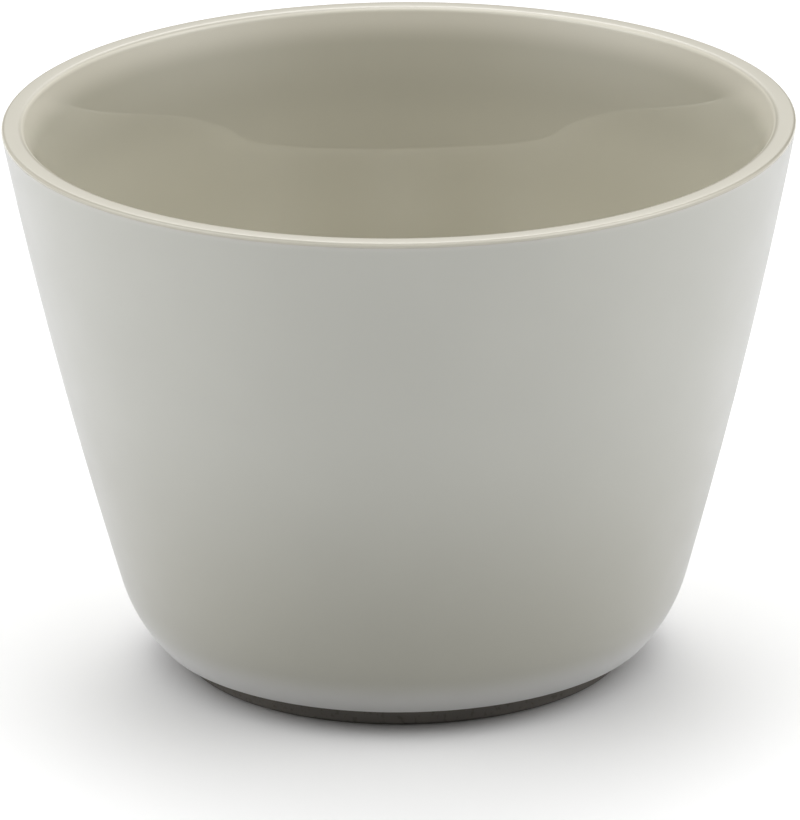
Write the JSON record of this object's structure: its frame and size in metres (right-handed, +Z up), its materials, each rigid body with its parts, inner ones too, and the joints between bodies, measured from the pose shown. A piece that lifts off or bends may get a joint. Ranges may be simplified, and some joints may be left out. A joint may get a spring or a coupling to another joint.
{
  "type": "cappuccino cup",
  "caption": "Handleless cappuccino cup: tapered, slightly bowed ceramic wall on a small bare foot ring, gloss glaze inside and over the lip, satin glaze outside.",
  "frame": {"origin": "centre of the foot ring's standing face, on the cup's axis", "axes": "+Z up along the cup's axis of revolution, from the foot to the mouth; X and Y are free because the cup is round"},
  "size_m": [0.09, 0.09, 0.0639],
  "materials": {
    "clay": "bare dark stoneware clay, matt and finely grained",
    "liner_glaze": "warm grey gloss glaze, paler over the lip",
    "outer_glaze": "stone grey satin glaze",
    "well_glaze": "stone grey satin glaze"
  },
  "bodies": {
    "root": {"clay_body": "clay", "liner_glaze": "liner_glaze", "outer_glaze": "outer_glaze", "foot_well_glaze": "well_glaze"}
  },
  "joints": []
}
